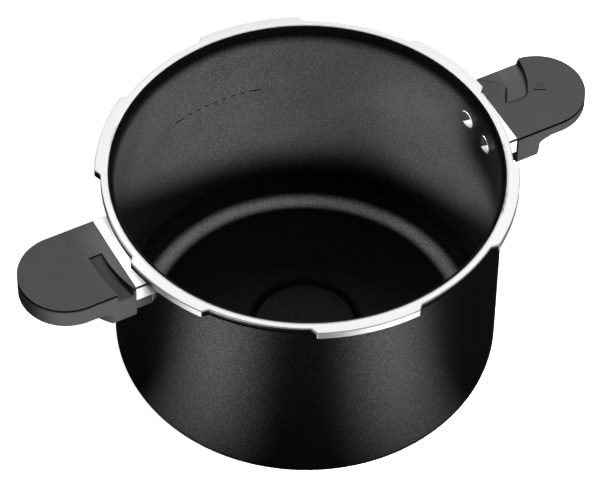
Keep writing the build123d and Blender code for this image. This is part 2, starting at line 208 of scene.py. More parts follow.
class CookerSizes(bpy.types.PropertyGroup):
    """Where the pot's finishes meet, and the fill mark."""

    rim_top: length("Rim top", POT_TOP, "Height of the rim's bare top face")
    bare_depth: length("Bare depth", 0.00055, "How far down from the rim's top the bare metal shows")
    bare_radius: length("Bare radius", 0.1040, "Radius where the bare rim meets the coated bend")
    lug_face_radius: length("Lug face radius", 0.1106, "Radius past which the lugs are bare")
    inside_radius: length("Inside radius", 0.10115, "Radius inside which the coat is the lighter one")
    inside_bottom: length("Inside bottom", 0.0025, "Height above which the coat can be the lighter one")
    bend_foot: length("Bend foot", 0.1165, "Height where the light inner coat begins to darken")
    bend_head: length("Bend head", 0.1255, "Height where it is as dark as the outer coat")
    # Painted shade: the inner wall is dark up to these heights, and the dark foot reaches higher towards the
    # sides
    low_foot: length("Low foot", 0.016, "Height up to which the far wall is dark")
    low_head: length("Low head", 0.046, "Height where the far wall has its full tone")
    low_lean: length("Low lean", 0.060, "How much higher that dark foot is a quarter of a turn away")
    # Painted shade on the floor inside this radius; the ring out to ring_radius keeps the inside coat's own
    # tone
    floor_radius: length("Floor radius", 0.0845, "Radius of the dark coat on the floor")
    ring_radius: length("Ring radius", 0.0910, "Outer radius of the lighter ring round the floor")
    ring_fade: length("Ring fade", 0.0026, "Half of the width over which that ring fades")
    # Painted shade: near each bracket a lug's face stays dark and fades into bare metal
    lug_shade: length("Lug shade", 0.030, "Half of the width by a bracket where a lug is coated")
    lug_fade: length("Lug fade", 0.009, "Width over which that coat gives way to bare metal")
    recess_radius: length("Recess radius", 0.0268, "Radius of the round recess in the floor")
    # Painted shade: a dark band round the floor's recess, made by taking the coat's gloss away
    slope_start: length("Slope start", -0.0004, "How far past the recess's edge the dark slope begins")
    slope_full: length("Slope full", 0.0008, "How far past the recess's edge the slope is fully dark")
    slope_radius: length("Slope radius", 0.0335, "Outer radius of the dark slope round that recess")
    slope_fade: length("Slope fade", 0.0050, "Width over which that dark slope gives way to the floor")
    # Painted shadow: a dark lower edge on the flange's side, under the flange, made by taking the coat's
    # gloss away
    lip_radius: length("Lip radius", 0.1070, "Radius past which the flange's side shows")
    lip_foot: length("Lip foot", 0.1242, "Height where that side's dark lower edge begins")
    lip_head: length("Lip head", 0.1272, "Height where that side's dark lower edge ends")
    lip_fade: length("Lip fade", 0.0006, "Height over which that dark edge fades at its top")
    mark_radius: length("Mark radius", 0.101, "Radius of the wall that carries the fill mark")
    mark_height: length("Mark height", 0.0850, "Height of the fill mark above the base")
    mark_stroke: length("Mark stroke", 0.0009, "Height of the fill mark's dashes")
    mark_relief: length("Mark relief", 0.00008, "How far the dashes stand off the wall")
    mark_turn: angle("Mark turn", 91.5, "Turn of the fill mark's middle about the pot's axis")
    mark_reach: angle("Mark reach", 30.4, "Whole turn that the fill mark takes up")
    mark_long: angle("Long dash", 3.5, "Turn of each end dash")
    mark_short: angle("Short dash", 1.25, "Turn of each dash between the end dashes")
    mark_count: IntProperty(
        name="Short dashes", description="Dashes between the end dashes", default=7, min=1
    )
    # Painted shade: the groove under each handle's top edge, the slot and recess walls, a line at the right
    # handle's root and a line along the recess's side are dark
    groove_top: length("Groove top", 0.00025, "Depth of the dark groove's upper side")
    groove_foot: length("Groove foot", 0.0016, "Depth of the dark groove's lower side")
    groove_fade: length("Groove fade", 0.0012, "How far the groove's dark line fades out below it")
    groove_inset: length("Groove inset", 0.0013, "How far in from a handle's outline it is dark")
    bar_reach: length("Bar reach", 0.0242, "From a handle's tip to the middle of its alignment mark")
    bar_radius: length("Bar radius", 0.005, "Radius round the alignment mark that holds its dark bar")
    bar_depth: length("Bar depth", 0.0003, "Depth below which the alignment mark is dark")
    wall_depth: length("Wall depth", 0.009, "How deep the dark walls of the slot and the recess go")
    wall_near: length("Wall start", 0.1125, "Distance along X where those walls begin")
    wall_far: length("Wall end", 0.141, "Distance along X where those walls end")
    wall_inset: length("Wall inset", 0.0008, "How far in from a handle's side those walls begin")
    floor_depth: length("Floor depth", 0.0008, "Depth below which a face is a floor")
    side_reach: length("Side reach", 0.1025, "From the pot's axis to the recess's inner wall")
    side_line: length("Side line", 0.0011, "Width of the dark line along that wall's foot")
    side_end: length("Side end", 0.0108, "How far across the handle that line goes")
    # Painted reflection: the upper part of each rivet's head is dark, with a painted bright line round it
    dome_rise: length("Dome rise", -0.0002, "How far above a rivet's middle its head turns dark")
    dome_fade: length("Dome fade", 0.0003, "Half of the width over which it turns dark")
    dome_edge: length("Dome edge", 0.0048, "Radius of the thin bright line round that dark part")
    root_reach: length("Root reach", 0.112, "Distance along X where the handles begin")
    root_line: length("Root line", 0.0009, "Width of the dark line down the right handle's root")
    cut_width: length("Cut width", 0.0003, "Width of the dark cut edge seen from above")
    cut_foot: length("Cut foot", 0.0015, "Depth of the dark cut edge's lower side")


class CookerFinishes(bpy.types.PropertyGroup):
    """Colours and roughnesses of the finishes."""

    coat_outside: colour("Outside coat", (0.0010, 0.0010, 0.00105), "Coat on the outer wall and bend")
    coat_inside: colour("Inside coat", (0.034, 0.034, 0.034), "Coat on the inner wall and its corner")
    # Painted shade: the floor, the recess in it and the foot of the inner wall get these dark tones
    painted_shade_coat: colour("Floor coat", (0.0004, 0.0004, 0.0004), "Coat on the floor and low on the wall")
    painted_recess_shade: colour("Recess coat", (0.0010, 0.0010, 0.0010), "Coat in the floor's round recess")
    bare_metal: colour("Bare metal", (0.85, 0.855, 0.855), "Turned metal of the rim and lugs")
    # Painted shade: the lugs' sides are a darker copy of the rim's turned metal
    shaded_lug_metal: colour("Lug metal", (0.74, 0.74, 0.735), "Turned sides of the lugs")
    moulding: colour("Moulding", (0.041, 0.041, 0.0415), "Handles")
    # Painted shade on the left slot's floor, and painted light on the right recess's floor
    moulding_slot_shade: colour("Slot floor", (0.022, 0.022, 0.0225), "Floor of the left handle's slot")
    moulding_recess_light: colour("Recess floor", (0.064, 0.064, 0.065), "Floor of the right handle's recess")
    # Painted shade in the handles' grooves, slot and recess walls, and along the right handle's root and the
    # recess's side; it also darkens the alignment mark's bar
    moulding_shade_and_mark: colour("Dark moulding", (0.002, 0.002, 0.002), "Grooves and side walls in the handles")
    bracket: colour("Bracket", (0.92, 0.92, 0.91), "Stamped steel of the brackets")
    bracket_cut: colour("Cut edge", (0.02, 0.02, 0.02), "Cut edge along the brackets' sides")
    rivet: colour("Rivet", (0.94, 0.94, 0.93), "Polished rivets")
    # Painted reflection of the dark wall on the upper part of the rivets' heads
    rivet_painted_reflection: colour("Dark rivet", (0.07, 0.07, 0.07), "Upper part of the rivets' heads")
    screw: colour("Screw", (0.55, 0.55, 0.54), "Plated screws and washers")
    insert: colour("Insert", (0.78, 0.58, 0.27), "Brass inserts")
    ink: colour("Ink", (0.002, 0.002, 0.002), "Fill mark")
    floor: colour("Floor", (0.86, 0.86, 0.86), "Floor of the studio")
    outside_roughness: share("Outside roughness", 0.30, "Roughness of the outside coat")
    inside_roughness: share("Inside roughness", 0.34, "Roughness of the inside coat")
    bare_roughness: share("Bare roughness", 0.30, "Roughness of the turned rim")
    floor_roughness: share("Floor roughness", 0.55, "Roughness of the coat on the pot's floor")
    coat_shine: share("Coat shine", 0.15, "How much the coat mirrors between its specks")
    speck_roughness: share("Speck roughness", 0.36, "Roughness of the coat's glossy specks")
    speck_index: FloatProperty(
        name="Speck index", description="Index of refraction of those specks", default=1.65
    )
    floor_specks: share("Floor specks", 0.5, "Share of the walls' gloss that the floor's specks have")
    moulding_roughness: share("Moulding roughness", 0.55, "Roughness of the handles")
    moulding_shine: share("Moulding shine", 0.4, "How much the handles mirror")
    rim_mirror: share("Rim mirror", 0.92, "How mirror-like the rim is")
    lug_mirror: share("Lug mirror", 0.88, "How mirror-like the lugs' faces are")
    sheet_roughness: share("Sheet roughness", 0.30, "Roughness of the brackets")
    sheet_mirror: share("Sheet mirror", 0.38, "How mirror-like the brackets are")
    dome_roughness: share("Dome roughness", 0.16, "Roughness of the rivets")
    dome_mirror: share("Dome mirror", 0.05, "How mirror-like the bright part of the rivets is")
    dark_mirror: share("Dark mirror", 0.6, "How mirror-like the dark part of the rivets is")
    screw_roughness: share("Screw roughness", 0.30, "Roughness of the screws and washers")
    insert_roughness: share("Insert roughness", 0.26, "Roughness of the inserts")
    ink_roughness: share("Ink roughness", 0.5, "Roughness of the fill mark")
    ground_roughness: share("Ground roughness", 0.9, "Roughness of the studio's floor")


class CookerStudio(bpy.types.PropertyGroup):
    """Camera and lights."""

    camera_turn: angle("Camera turn", -28.4, "Turn of the camera about the pot, from the front")
    camera_rise: angle("Camera rise", 49.17, "Height of the camera above the horizon")
    camera_roll: angle("Camera roll", 0.82, "Lean of the camera")
    camera_distance: length("Camera distance", 2.0007, "From the camera to the middle of the rim")
    camera_right: length("Camera right", -0.00384, "Sideways move of the camera")
    camera_up: length("Camera up", -0.0382, "Upward move of the camera")
    lens: FloatProperty(
        name="Lens",
        description="Focal length on a 36 mm sensor",
        default=230.64,
        subtype="DISTANCE_CAMERA",
    )
    left_box: strength("Left softbox", 8.0, "Softbox to the left of the camera")
    right_box: strength("Right softbox", 145.0, "Softbox to the right of the camera")
    back_panel: strength("Back panel", 1.27, "Panel behind the pot, which the rim mirrors")
    floor_spot: strength("Floor spot", 8.0, "Lamp straight above, with a cone into the pot")
    left_spot: strength("Left wall spot", 1.6, "Lamp for the left inner wall")
    right_spot: strength("Right wall spot", 10.5, "Lamp for the right inner wall")
    bracket_spot: strength("Bracket spot", 12.0, "Lamp for the left bracket, with a flat cone")
    rivet_spot: strength("Rivet spot", 2.6, "Lamp for the right bracket's near rivet")
    near_cards: strength("Near cards", 1.95, "Cards by the pot's front, seen in reflections")
    far_cards: strength("Far cards", 1.4, "Cards behind the pot, seen in reflections")
    floor_glow: strength("Floor glow", 0.9, "Light of the floor itself")
    room: strength("Room", 0.010, "Dim light from all round")


# Node trees


def feed(tree, socket, value):
    """Links a socket to another, or sets its value."""
    if isinstance(value, bpy.types.NodeSocket):
        tree.links.new(value, socket)
    elif socket.type == "RGBA":
        socket.default_value = (*value, 1.0)
    else:
        socket.default_value = value


def node(tree, kind, inputs=None, **settings):
    """Adds a node, sets its options, and links or sets its inputs."""
    made = tree.nodes.new(kind)
    for option, value in settings.items():
        setattr(made, option, value)
    for socket, value in (inputs or {}).items():
        feed(tree, made.inputs[socket], value)
    return made


def calculate(tree, operation, *values):
    """One step of arithmetic on values that change over the surface."""
    return node(tree, "ShaderNodeMath", dict(enumerate(values)), operation=operation).outputs[0]


def on_vectors(tree, operation, *vectors):
    """One step of arithmetic on vectors."""
    made = node(tree, "ShaderNodeVectorMath", dict(enumerate(vectors)), operation=operation)
    return made.outputs["Vector"]


def measure(tree, operation, *vectors):
    """A length, a distance or a product of vectors, as one value."""
    made = node(tree, "ShaderNodeVectorMath", dict(enumerate(vectors)), operation=operation)
    return made.outputs["Value"]


def scale_colour(tree, rgb, factor):
    """A colour times a factor."""
    inputs = {0: rgb, "Scale": factor}
    return node(tree, "ShaderNodeVectorMath", inputs, operation="SCALE").outputs["Vector"]


def split(tree, vector):
    """Outputs for X, Y and Z of a vector."""
    return node(tree, "ShaderNodeSeparateXYZ", {"Vector": vector}).outputs


def rise(tree, value, low, high):
    """Mask that goes smoothly from 0 at low to 1 at high."""
    inputs = {"Value": value, "From Min": low, "From Max": high}
    return node(tree, "ShaderNodeMapRange", inputs, interpolation_type="SMOOTHSTEP").outputs["Result"]


def spread(tree, value, low, high):
    """A value from 0 to 1, spread between low and high."""
    inputs = {"Value": value, "To Min": low, "To Max": high}
    return node(tree, "ShaderNodeMapRange", inputs).outputs["Result"]


def vary(tree, value, middle, swing):
    """A roughness that a value from 0 to 1 varies about its middle."""
    return spread(tree, value, middle - swing, middle + swing)


def mix_colours(tree, mask, first, second):
    """The first colour where mask is 0, and the second where it is 1."""
    inputs = {MIX_FACTOR: mask, MIX_COLOURS[0]: first, MIX_COLOURS[1]: second}
    return node(tree, "ShaderNodeMix", inputs, data_type="RGBA").outputs[MIX_COLOUR_OUT]


def mix_values(tree, mask, first, second):
    """The first value where mask is 0, and the second where it is 1."""
    inputs = {MIX_FACTOR: mask, MIX_VALUES[0]: first, MIX_VALUES[1]: second}
    return node(tree, "ShaderNodeMix", inputs, data_type="FLOAT").outputs[MIX_VALUE_OUT]


def both(tree, first, *others):
    """Mask that is 1 only where all of the given masks are."""
    for other in others:
        first = calculate(tree, "MULTIPLY", first, other)
    return first


def either(tree, first, *others):
    """Mask that is 1 where any of the given masks is."""
    for other in others:
        first = calculate(tree, "MAXIMUM", first, other)
    return first


def opposite(tree, mask):
    """Mask that is 1 where the given one is 0."""
    return calculate(tree, "SUBTRACT", 1.0, mask)


def past(tree, value, edge):
    """Mask of what lies past an edge."""
    return rise(tree, value, edge - SOFT_EDGE, edge)


def short_of(tree, value, edge):
    """Mask of what lies short of an edge."""
    return rise(tree, value, edge + SOFT_EDGE, edge)


def band(tree, value, low, high):
    """Mask of what lies between two edges."""
    return both(tree, past(tree, value, low), short_of(tree, value, high))


def new_material(name):
    """A material's tree and its Principled shader."""
    material = bpy.data.materials.new(name)
    material.use_nodes = True
    return material, material.node_tree, material.node_tree.nodes["Principled BSDF"]


def object_points(tree):
    """Points of the surface in metres, in the frame of the part."""
    return node(tree, "ShaderNodeTexCoord").outputs["Object"]


def new_group(name, density, results):
    """An empty node group for a texture, and its input and output sockets."""
    tree = bpy.data.node_groups.new(name, "ShaderNodeTree")
    kinds = {"Vector": "NodeSocketVector", "Colour": "NodeSocketColor"}
    for way, labels in (("INPUT", ("Vector", density, "Colour", "Contrast")), ("OUTPUT", results)):
        for label in labels:
            kind = kinds.get(label, "NodeSocketFloat")
            tree.interface.new_socket(label, in_out=way, socket_type=kind)
    return tree, tree.nodes.new("NodeGroupInput").outputs, tree.nodes.new("NodeGroupOutput").inputs


def grain_group():
    """Fine speckle of sprayed coats and moulded plastic, with slow mottling under it."""
    name = "Fine grain"
    if name in bpy.data.node_groups:
        return bpy.data.node_groups[name]
    tree, given, result = new_group(name, "Grains per metre", ("Colour", "Height", "Mottle"))
    density = given["Grains per metre"]
    inputs = {"Vector": given["Vector"], "Scale": density, "Detail": GRAIN_DETAIL}
    fine = node(tree, "ShaderNodeTexNoise", inputs).outputs["Fac"]
    slow_density = calculate(tree, "MULTIPLY", density, MOTTLE_SCALE)
    inputs = {"Vector": given["Vector"], "Scale": slow_density, "Detail": MOTTLE_DETAIL}
    slow = node(tree, "ShaderNodeTexNoise", inputs).outputs["Fac"]
    height = rise(tree, fine, *GRAIN_LEVELS)
    mottling = calculate(tree, "MULTIPLY", slow, MOTTLE_SHARE)
    level = calculate(tree, "MULTIPLY_ADD", height, GRAIN_SHARE, mottling)
    from_middle = calculate(tree, "SUBTRACT", level, (GRAIN_SHARE + MOTTLE_SHARE) / 2)
    swing = calculate(tree, "MULTIPLY", from_middle, given["Contrast"])
    factor = calculate(tree, "MAXIMUM", calculate(tree, "MULTIPLY_ADD", swing, 2.0, 1.0), 0.0)
    tinted = scale_colour(tree, given["Colour"], factor)
    for label, socket in (("Colour", tinted), ("Height", height), ("Mottle", slow)):
        tree.links.new(socket, result[label])
    return tree


def lines_group():
    """Fine parallel lines of turned or rolled metal, along the ways in which Vector is squeezed."""
    name = "Tool lines"
    if name in bpy.data.node_groups:
        return bpy.data.node_groups[name]
    tree, given, result = new_group(name, "Lines per metre", ("Colour", "Height"))
    inputs = {
        "Vector": given["Vector"],
        "Scale": given["Lines per metre"],
        "Detail": LINE_DETAIL,
        "Roughness": LINE_ROUGHNESS,
    }
    lines = node(tree, "ShaderNodeTexNoise", inputs).outputs["Fac"]
    swing = calculate(tree, "MULTIPLY", calculate(tree, "SUBTRACT", lines, 0.5), given["Contrast"])
    factor = calculate(tree, "MULTIPLY_ADD", swing, 2.0, 1.0)
    tinted = scale_colour(tree, given["Colour"], factor)
    for label, socket in (("Colour", tinted), ("Height", lines)):
        tree.links.new(socket, result[label])
    return tree


def use_group(tree, group, **inputs):
    """Places a node group, with its inputs named by words joined with underscores."""
    made = tree.nodes.new("ShaderNodeGroup")
    made.node_tree = group
    for words, value in inputs.items():
        feed(tree, made.inputs[words.replace("_", " ")], value)
    return made.outputs


def set_shader(tree, shader, **inputs):
    """Links or sets inputs of the Principled shader, named by words joined with underscores."""
    for words, value in inputs.items():
        feed(tree, shader.inputs[words.replace("_", " ")], value)


def bump(tree, height, distance):
    """Normal that is pushed about by a height from 0 to 1."""
    return node(tree, "ShaderNodeBump", {"Height": height, "Distance": distance}).outputs["Normal"]


def distance_from_axis(tree, points):
    """Distance of each point from the pot's axis."""
    return measure(tree, "LENGTH", on_vectors(tree, "MULTIPLY", points, (1.0, 1.0, 0.0)))


# Finishes


def coat_material(sizes, finishes):
    """Black speckled coat inside and out, and the bare turned metal of the rim and lugs, with painted shade
    on the floor, in its recess, at the foot of the inner wall, round the recess, under the flange and on the
    lugs.
    """
    material, tree, shader = new_material("black_coat_and_bare_rim")
    points = object_points(tree)
    radius = distance_from_axis(tree, points)
    place = split(tree, points)
    height = place["Z"]

    above_base = past(tree, height, sizes.inside_bottom)
    within_wall = short_of(tree, radius, sizes.inside_radius)
    below_bend = rise(tree, height, sizes.bend_head, sizes.bend_foot)
    inside = both(tree, above_base, within_wall, below_bend)
    fade = sizes.ring_fade
    on_floor = rise(tree, radius, sizes.floor_radius + fade, sizes.floor_radius - fade)
    within_ring = rise(tree, radius, sizes.ring_radius + fade, sizes.ring_radius - fade)
    in_recess = short_of(tree, radius, sizes.recess_radius)
    # Painted shade round the recess and painted shadow under the flange: the coat there loses its gloss
    from_recess = calculate(tree, "SUBTRACT", radius, sizes.recess_radius)
    slope_start = rise(tree, from_recess, sizes.slope_start, sizes.slope_full)
    slope_end = rise(tree, radius, sizes.slope_radius, sizes.slope_radius - sizes.slope_fade)
    slope = both(tree, slope_start, slope_end, above_base)
    lip_side = past(tree, radius, sizes.lip_radius)
    lip_end = rise(tree, height, sizes.lip_head, sizes.lip_head - sizes.lip_fade)
    lip = both(tree, lip_side, past(tree, height, sizes.lip_foot), lip_end)
    dull_painted_shade = either(tree, slope, lip)

    near_top = past(tree, height, sizes.rim_top - sizes.bare_depth)
    past_bend = past(tree, radius, sizes.bare_radius)
    # Painted shade on the lugs: their faces stay dark near the brackets
    lug_face = past(tree, radius, sizes.lug_face_radius)
    off_line = calculate(tree, "ABSOLUTE", place["Y"])
    off_bracket = rise(tree, off_line, sizes.lug_shade, sizes.lug_shade + sizes.lug_fade)
    lug_side = both(tree, lug_face, off_bracket, opposite(tree, near_top))
    bare = either(tree, both(tree, near_top, past_bend), lug_side)

    # Painted shade: dark tones on the floor, in its recess and at the foot of the inner wall, whose dark
    # foot reaches higher towards the sides
    turn = on_vectors(tree, "NORMALIZE", points)
    off_far_side = opposite(tree, measure(tree, "DOT_PRODUCT", turn, FAR_SIDE))
    aside = calculate(tree, "POWER", off_far_side, LEAN_POWER)
    drop = calculate(tree, "MULTIPLY", aside, sizes.low_lean)
    above_painted_shade = rise(tree, calculate(tree, "SUBTRACT", height, drop), sizes.low_foot, sizes.low_head)
    floor_colour = mix_colours(tree, in_recess, finishes.painted_shade_coat, finishes.painted_recess_shade)
    wall_colour = mix_colours(tree, above_painted_shade, finishes.painted_shade_coat, finishes.coat_inside)
    corner_colour = mix_colours(tree, within_ring, wall_colour, finishes.coat_inside)
    inside_colour = mix_colours(tree, on_floor, corner_colour, floor_colour)
    coat_colour = mix_colours(tree, inside, finishes.coat_outside, inside_colour)
    grain = use_group(tree, grain_group(), Vector=points, Colour=coat_colour, **COAT_GRAIN)
    ring = node(tree, "ShaderNodeCombineXYZ", {"X": radius, "Z": height}).outputs[0]
    # Painted shade: a darker copy of the turned metal on the lugs' sides
    bare_colour = mix_colours(tree, lug_side, finishes.bare_metal, finishes.shaded_lug_metal)
    turned = use_group(tree, lines_group(), Vector=ring, Colour=bare_colour, **RIM_LINES)

    inside_roughness = mix_values(tree, on_floor, finishes.inside_roughness, finishes.floor_roughness)
    coat_roughness = mix_values(tree, inside, finishes.outside_roughness, inside_roughness)
    swing = spread(tree, grain["Mottle"], -COAT_SWING, COAT_SWING)
    coat_roughness = calculate(tree, "ADD", coat_roughness, swing)
    coat_roughness = mix_values(tree, dull_painted_shade, coat_roughness, 1.0)
    bare_roughness = vary(tree, turned["Height"], finishes.bare_roughness, METAL_SWING)
    specks = spread(tree, calculate(tree, "POWER", grain["Height"], SPECK_POWER), SPECK_LOW, 1.0)
    floor_share = mix_values(tree, both(tree, inside, on_floor), 1.0, finishes.floor_specks)
    speckled = opposite(tree, either(tree, bare, dull_painted_shade))
    bare_relief = calculate(tree, "MULTIPLY", turned["Height"], RIM_RELIEF_SHARE)
    relief = mix_values(tree, bare, grain["Height"], bare_relief)
    set_shader(
        tree,
        shader,
        Base_Color=mix_colours(tree, bare, grain["Colour"], turned["Colour"]),
        Metallic=both(tree, bare, mix_values(tree, lug_side, finishes.rim_mirror, finishes.lug_mirror)),
        Specular_IOR_Level=finishes.coat_shine,
        Coat_Weight=both(tree, specks, floor_share, speckled),
        Coat_Roughness=finishes.speck_roughness,
        Coat_IOR=finishes.speck_index,
        Roughness=mix_values(tree, bare, coat_roughness, bare_roughness),
        Normal=bump(tree, relief, COAT_RELIEF),
    )
    return material


def moulding_masks(tree, sizes, points):
    """Masks of the left handle, of the floors in the handles' tops, and of what is dark there: painted
    shade, and the alignment mark's bar.
    """
    place = split(tree, points)
    depth = calculate(tree, "SUBTRACT", HANDLE_TOP, place["Z"])
    along = calculate(tree, "ABSOLUTE", place["X"])
    on_left = calculate(tree, "LESS_THAN", place["X"], 0.0)
    past_side = calculate(tree, "SUBTRACT", along, HANDLE_TIP - HALF_WIDTH)
    rounded = calculate(tree, "MAXIMUM", past_side, 0.0)
    outward = node(tree, "ShaderNodeCombineXYZ", {"X": rounded, "Y": place["Y"]}).outputs[0]
    reach = measure(tree, "LENGTH", outward)
    # Painted shade in the groove under the top edge
    near_side = past(tree, reach, HALF_WIDTH - sizes.groove_inset)
    below_lip = past(tree, depth, sizes.groove_top)
    above_foot = rise(tree, depth, sizes.groove_foot + sizes.groove_fade, sizes.groove_foot)
    groove = both(tree, near_side, below_lip, above_foot)

    bar_middle = (HANDLE_TIP - sizes.bar_reach, 0.0, HANDLE_TOP)
    from_bar = measure(tree, "DISTANCE", points, bar_middle)
    sunk = past(tree, depth, sizes.bar_depth)
    bar = both(tree, short_of(tree, from_bar, sizes.bar_radius), sunk)

    # Painted shade on the walls of the slot and the recess
    normal = node(tree, "ShaderNodeNewGeometry").outputs["True Normal"]
    facing = split(tree, normal)
    outward_wall = rise(tree, calculate(tree, "ABSOLUTE", facing["X"]), *WALL_TILT)
    upright_wall = rise(tree, calculate(tree, "ABSOLUTE", facing["Z"]), *reversed(WALL_TILT))
    wall = mix_values(tree, on_left, outward_wall, upright_wall)
    shallow = short_of(tree, depth, sizes.wall_depth)
    off_side = short_of(tree, reach, HALF_WIDTH - sizes.wall_inset)
    within = both(tree, shallow, off_side, band(tree, along, sizes.wall_near, sizes.wall_far))
    lower = past(tree, depth, sizes.floor_depth)

    # Painted shade: a dark line down the right handle's root and along the recess's side
    at_root = short_of(tree, along, sizes.root_reach + sizes.root_line)
    at_side = past(tree, calculate(tree, "ABSOLUTE", place["Y"]), HALF_WIDTH)
    root = both(tree, at_root, at_side, opposite(tree, on_left))
    out = measure(tree, "DOT_PRODUCT", points, RECESS_SIDE)
    along_wall = band(tree, out, sizes.side_reach, sizes.side_reach + sizes.side_line)
    across_wall = band(tree, place["Y"], 0.0, sizes.side_end)
    side = both(tree, along_wall, across_wall, sunk)
    dark = either(tree, groove, bar, root, side, both(tree, wall, within))
    return on_left, both(tree, within, lower), dark


def moulding_material(sizes, finishes):
    """Matte dark moulding with a fine spark-eroded grain, with painted shade in its grooves, slot and
    recess, and painted light on the recess's floor.
    """
    material, tree, shader = new_material("matte_moulding")
    points = object_points(tree)
    on_left, floors, dark = moulding_masks(tree, sizes, points)
    # Painted shade on the slot's floor and painted light on the recess's floor
    floor_tone = mix_colours(tree, on_left, finishes.moulding_recess_light, finishes.moulding_slot_shade)
    tone = mix_colours(tree, floors, finishes.moulding, floor_tone)
    tone = mix_colours(tree, dark, tone, finishes.moulding_shade_and_mark)
    grain = use_group(tree, grain_group(), Vector=points, Colour=tone, **MOULDING_GRAIN)
    set_shader(
        tree,
        shader,
        Base_Color=grain["Colour"],
        Roughness=vary(tree, grain["Mottle"], finishes.moulding_roughness, MOULDING_SWING),
        Specular_IOR_Level=finishes.moulding_shine,
        Normal=bump(tree, grain["Height"], COAT_RELIEF),
    )
    return material


def set_metal(tree, shader, drawn, mirror, roughness):
    """Feeds a metal's shader from its tool lines."""
    set_shader(
        tree,
        shader,
        Base_Color=drawn["Colour"],
        Metallic=mirror,
        Roughness=vary(tree, drawn["Height"], roughness, METAL_SWING),
        Normal=bump(tree, drawn["Height"], METAL_RELIEF),
    )


def metal_material(name, rgb, squeeze, lines, roughness):
    """Bare metal with tool lines along the ways in which squeeze is small."""
    material, tree, shader = new_material(name)
    squeezed = on_vectors(tree, "MULTIPLY", object_points(tree), squeeze)
    drawn = use_group(tree, lines_group(), Vector=squeezed, Colour=rgb, **lines)
    set_metal(tree, shader, drawn, 1.0, roughness)
    return material


def bracket_material(sizes, finishes):
    """Rolled bright sheet, dark along the cut edges of the top plate."""
    material, tree, shader = new_material("rolled_steel")
    points = object_points(tree)
    place = split(tree, points)
    depth = calculate(tree, "SUBTRACT", HANDLE_TOP, place["Z"])
    off_line = calculate(tree, "ABSOLUTE", place["Y"])
    at_side = past(tree, off_line, HALF_WIDTH - sizes.cut_width)
    cut = both(tree, at_side, short_of(tree, depth, sizes.cut_foot))
    tone = mix_colours(tree, cut, finishes.bracket, finishes.bracket_cut)
    squeezed = on_vectors(tree, "MULTIPLY", points, ALONG_Y)
    rolled = use_group(tree, lines_group(), Vector=squeezed, Colour=tone, **SHEET_LINES)
    set_metal(tree, shader, rolled, finishes.sheet_mirror, finishes.sheet_roughness)
    return material


def middle_of(name):
    """Middle of a CAD node's box."""
    low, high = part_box(name)
    return (low + high) / 2


def rivet_material(name, sizes, finishes):
    """Polished dome with painted reflections: bright below, dark above where it stands for the dark wall it
    mirrors, and a painted bright line round that dark part.
    """
    material, tree, shader = new_material(f"polished_{name}")
    middle = middle_of(name)
    towards_handle = 1.0 if middle.x > 0 else -1.0
    points = object_points(tree)
    offset = on_vectors(tree, "SUBTRACT", points, middle)
    place = split(tree, offset)
    # Painted reflection: dark above the rivet's middle, bright below and in a thin line round the dark part
    level = calculate(tree, "MULTIPLY_ADD", place["Y"], towards_handle, place["Z"])
    above = rise(tree, level, sizes.dome_rise - sizes.dome_fade, sizes.dome_rise + sizes.dome_fade)
    reach = measure(tree, "LENGTH", on_vectors(tree, "MULTIPLY", offset, (0.0, 1.0, 1.0)))
    dark = both(tree, above, opposite(tree, past(tree, reach, sizes.dome_edge)))
    tone = mix_colours(tree, dark, finishes.rivet, finishes.rivet_painted_reflection)
    polished = use_group(tree, lines_group(), Vector=points, Colour=tone, **DOME_LINES)
    mirror = mix_values(tree, dark, finishes.dome_mirror, finishes.dark_mirror)
    set_metal(tree, shader, polished, mirror, finishes.dome_roughness)
    return material


def ink_material(finishes):
    """Dark print of the fill mark, worn in specks."""
    material, tree, shader = new_material("fill_mark_print")
    points = object_points(tree)
    grain = use_group(tree, grain_group(), Vector=points, Colour=finishes.ink, **INK_GRAIN)
    set_shader(
        tree,
        shader,
        Base_Color=grain["Colour"],
        Roughness=finishes.ink_roughness,
        Normal=bump(tree, grain["Height"], INK_RELIEF),
    )
    return material


def dress(names, material):
    """Gives CAD nodes a finish."""
    for name in names:
        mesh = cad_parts[name].data
        mesh.materials.clear()
        mesh.materials.append(material)


# Pieces


def link_mesh(name, bm, material):
    """Makes an object of a finished bmesh."""
    mesh = bpy.data.meshes.new(name)
    bm.to_mesh(mesh)
    bm.free()
    mesh.materials.append(material)
    made = bpy.data.objects.new(name, mesh)
    bpy.context.scene.collection.objects.link(made)
    return made


def add_dash(bm, sizes, start, sweep):
    """Adds one dash of the fill mark: a small upright strip that follows the wall."""
    outer = sizes.mark_radius + sizes.mark_relief
    inner = sizes.mark_radius - sizes.mark_relief
    low = sizes.mark_height - sizes.mark_stroke / 2
    high = sizes.mark_height + sizes.mark_stroke / 2
    corners = ((outer, low), (inner, low), (inner, high), (outer, high))
    section = [bm.verts.new((r, 0.0, z)) for r, z in corners]
    first = bm.faces.new(section)
    bmesh.ops.rotate(bm, verts=section, cent=(0, 0, 0), matrix=Matrix.Rotation(start, 3, "Z"))
    swept = bmesh.ops.extrude_face_region(bm, geom=[first], use_keep_orig=True)
    far = [item for item in swept["geom"] if isinstance(item, bmesh.types.BMVert)]
    bmesh.ops.rotate(bm, verts=far, cent=(0, 0, 0), matrix=Matrix.Rotation(sweep, 3, "Z"))


class COOKER_OT_pot(bpy.types.Operator):
    """Coats the pot and bares its rim"""

    bl_idname = "cooker.pot"
    bl_label = "Pot"

    def execute(self, context):
        scene = context.scene
        dress(["pot_body"], coat_material(scene.cooker_sizes, scene.cooker_finishes))
        return {"FINISHED"}


